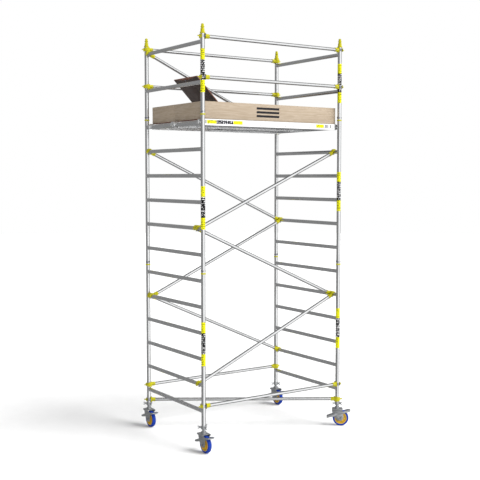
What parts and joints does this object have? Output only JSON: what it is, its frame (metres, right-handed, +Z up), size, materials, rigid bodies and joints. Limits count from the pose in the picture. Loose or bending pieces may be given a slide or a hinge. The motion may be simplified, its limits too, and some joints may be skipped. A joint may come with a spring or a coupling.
{
  "type": "mobile tower scaffold",
  "caption": "Tall rolling access tower: ladder frames, clawed tube braces, guardrails, hatch deck with toe boards, swivel casters with rocker brakes on screw legs.",
  "frame": {"origin": "centre of the bounding box's footprint, on the floor under the wheels", "axes": "+X along the tower from the left frame to the right one, +Y from its front to its back, +Z up"},
  "size_m": [2.2158, 1.621, 4.871],
  "materials": {
    "tube_aluminium": "bright drawn tube, lightly brushed",
    "deck_aluminium": "extruded, satin",
    "yellow_casting": "powder-coated yellow casting",
    "zinc_steel": "zinc plated",
    "galvanised_steel": "galvanised",
    "orange_hub": "moulded nylon",
    "blue_tread": "moulded tread",
    "spruce_board": "planed softwood",
    "deck_plywood": "film-faced plywood"
  },
  "bodies": {
    "root": {"lower_frame_left": "tube_aluminium", "middle_frame_left": "tube_aluminium", "guard_frame_left": "tube_aluminium", "lower_frame_right": "tube_aluminium", "middle_frame_right": "tube_aluminium", "guard_frame_right": "tube_aluminium", "frame_joint_spigots": "yellow_casting", "top_spigots": "yellow_casting", "frame_lock_clips": "zinc_steel", "guardrail_top_front": "tube_aluminium", "guardrail_top_back": "tube_aluminium", "guardrail_middle_front": "tube_aluminium", "guardrail_middle_back": "tube_aluminium", "base_brace_front": "tube_aluminium", "base_brace_back": "tube_aluminium", "plan_brace": "tube_aluminium", "post_claws": "yellow_casting", "post_claw_latches": "zinc_steel", "diagonal_braces_front": "tube_aluminium", "diagonal_braces_back": "tube_aluminium", "rung_claws": "yellow_casting", "rung_claw_latches": "zinc_steel", "hatch_hinge_plates": "zinc_steel", "front_deck_frame": "deck_aluminium", "front_deck_board": "deck_plywood", "back_deck_frame": "deck_aluminium", "back_deck_boards": "deck_plywood", "deck_hooks": "deck_aluminium", "toe_board_front": "spruce_board", "toe_board_back": "spruce_board", "toe_boards_left": "spruce_board", "toe_boards_right": "spruce_board", "toe_board_brackets": "zinc_steel"},
    "leg_front_left": {"leg_spindle_front_left": "galvanised_steel"},
    "nut_front_left": {"wing_nut_front_left": "galvanised_steel"},
    "caster_front_left": {"caster_fork_front_left": "galvanised_steel"},
    "wheel_front_left": {"wheel_hub_front_left": "orange_hub", "wheel_tyre_front_left": "blue_tread"},
    "pedal_front_left": {"brake_pedal_front_left": "galvanised_steel"},
    "leg_front_right": {"leg_spindle_front_right": "galvanised_steel"},
    "nut_front_right": {"wing_nut_front_right": "galvanised_steel"},
    "caster_front_right": {"caster_fork_front_right": "galvanised_steel"},
    "wheel_front_right": {"wheel_hub_front_right": "orange_hub", "wheel_tyre_front_right": "blue_tread"},
    "pedal_front_right": {"brake_pedal_front_right": "galvanised_steel"},
    "leg_back_left": {"leg_spindle_back_left": "galvanised_steel"},
    "nut_back_left": {"wing_nut_back_left": "galvanised_steel"},
    "caster_back_left": {"caster_fork_back_left": "galvanised_steel"},
    "wheel_back_left": {"wheel_hub_back_left": "orange_hub", "wheel_tyre_back_left": "blue_tread"},
    "pedal_back_left": {"brake_pedal_back_left": "galvanised_steel"},
    "leg_back_right": {"leg_spindle_back_right": "galvanised_steel"},
    "nut_back_right": {"wing_nut_back_right": "galvanised_steel"},
    "caster_back_right": {"caster_fork_back_right": "galvanised_steel"},
    "wheel_back_right": {"wheel_hub_back_right": "orange_hub", "wheel_tyre_back_right": "blue_tread"},
    "pedal_back_right": {"brake_pedal_back_right": "galvanised_steel"},
    "hatch": {"hatch_panel": "deck_plywood", "hatch_hinge_flaps": "zinc_steel"},
    "latch": {"hatch_latch": "zinc_steel"}
  },
  "joints": [
    {"name": "nut_turn_front_left", "type": "hinge", "parent": "root", "child": "nut_front_left", "pos_m": [-1.04588, -0.6425, 0.272], "axis": [0, 0, 1], "range_deg": [0, 9000]},
    {"name": "leg_extend_front_left", "type": "slide", "parent": "root", "child": "leg_front_left", "axis": [0, 0, -1], "range_m": [0, 0.2]},
    {"name": "swivel_front_left", "type": "hinge", "parent": "leg_front_left", "child": "caster_front_left", "pos_m": [-1.04588, -0.6425, 0.222], "axis": [0, 0, 1], "continuous": true},
    {"name": "wheel_spin_front_left", "type": "hinge", "parent": "caster_front_left", "child": "wheel_front_left", "pos_m": [-1.04588, -0.6875, 0.1], "axis": [1, 0, 0], "continuous": true},
    {"name": "brake_press_front_left", "type": "hinge", "parent": "caster_front_left", "child": "pedal_front_left", "pos_m": [-1.04588, -0.6425, 0.148], "axis": [1, 0, 0], "range_deg": [0, 11]},
    {"name": "nut_turn_front_right", "type": "hinge", "parent": "root", "child": "nut_front_right", "pos_m": [0.95412, -0.6425, 0.272], "axis": [0, 0, 1], "range_deg": [0, 9000]},
    {"name": "leg_extend_front_right", "type": "slide", "parent": "root", "child": "leg_front_right", "axis": [0, 0, -1], "range_m": [0, 0.2]},
    {"name": "swivel_front_right", "type": "hinge", "parent": "leg_front_right", "child": "caster_front_right", "pos_m": [0.95412, -0.6425, 0.222], "axis": [0, 0, 1], "continuous": true},
    {"name": "wheel_spin_front_right", "type": "hinge", "parent": "caster_front_right", "child": "wheel_front_right", "pos_m": [0.98859, -0.67143, 0.1], "axis": [0.6428, 0.766, 0], "continuous": true},
    {"name": "brake_press_front_right", "type": "hinge", "parent": "caster_front_right", "child": "pedal_front_right", "pos_m": [0.95412, -0.6425, 0.148], "axis": [0.6428, 0.766, 0], "range_deg": [0, 11]},
    {"name": "nut_turn_back_left", "type": "hinge", "parent": "root", "child": "nut_back_left", "pos_m": [-1.04588, 0.6775, 0.272], "axis": [0, 0, 1], "range_deg": [0, 9000]},
    {"name": "leg_extend_back_left", "type": "slide", "parent": "root", "child": "leg_back_left", "axis": [0, 0, -1], "range_m": [0, 0.2]},
    {"name": "swivel_back_left", "type": "hinge", "parent": "leg_back_left", "child": "caster_back_left", "pos_m": [-1.04588, 0.6775, 0.222], "axis": [0, 0, 1], "continuous": true},
    {"name": "wheel_spin_back_left", "type": "hinge", "parent": "caster_back_left", "child": "wheel_back_left", "pos_m": [-1.04588, 0.6325, 0.1], "axis": [1, 0, 0], "continuous": true},
    {"name": "brake_press_back_left", "type": "hinge", "parent": "caster_back_left", "child": "pedal_back_left", "pos_m": [-1.04588, 0.6775, 0.148], "axis": [1, 0, 0], "range_deg": [0, 11]},
    {"name": "nut_turn_back_right", "type": "hinge", "parent": "root", "child": "nut_back_right", "pos_m": [0.95412, 0.6775, 0.272], "axis": [0, 0, 1], "range_deg": [0, 9000]},
    {"name": "leg_extend_back_right", "type": "slide", "parent": "root", "child": "leg_back_right", "axis": [0, 0, -1], "range_m": [0, 0.2]},
    {"name": "swivel_back_right", "type": "hinge", "parent": "leg_back_right", "child": "caster_back_right", "pos_m": [0.95412, 0.6775, 0.222], "axis": [0, 0, 1], "continuous": true},
    {"name": "wheel_spin_back_right", "type": "hinge", "parent": "caster_back_right", "child": "wheel_back_right", "pos_m": [0.95412, 0.6325, 0.1], "axis": [1, 0, 0], "continuous": true},
    {"name": "brake_press_back_right", "type": "hinge", "parent": "caster_back_right", "child": "pedal_back_right", "pos_m": [0.95412, 0.6775, 0.148], "axis": [1, 0, 0], "range_deg": [0, 11]},
    {"name": "hatch_hinge", "type": "hinge", "parent": "root", "child": "hatch", "pos_m": [-0.15388, 0.292, 3.828], "axis": [0, 1, 0], "range_deg": [-45, 60]},
    {"name": "hatch_latch_turn", "type": "hinge", "parent": "hatch", "child": "latch", "pos_m": [-0.69482, 0.292, 4.35762], "axis": [0.7071, 0, 0.7071], "range_deg": [0, 90]}
  ],
  "couplings": [
    {"joint": "nut_turn_front_left", "follows": "leg_extend_front_left", "rad_per_m": 785.4},
    {"joint": "nut_turn_front_right", "follows": "leg_extend_front_right", "rad_per_m": 785.4},
    {"joint": "nut_turn_back_left", "follows": "leg_extend_back_left", "rad_per_m": 785.4},
    {"joint": "nut_turn_back_right", "follows": "leg_extend_back_right", "rad_per_m": 785.4}
  ]
}
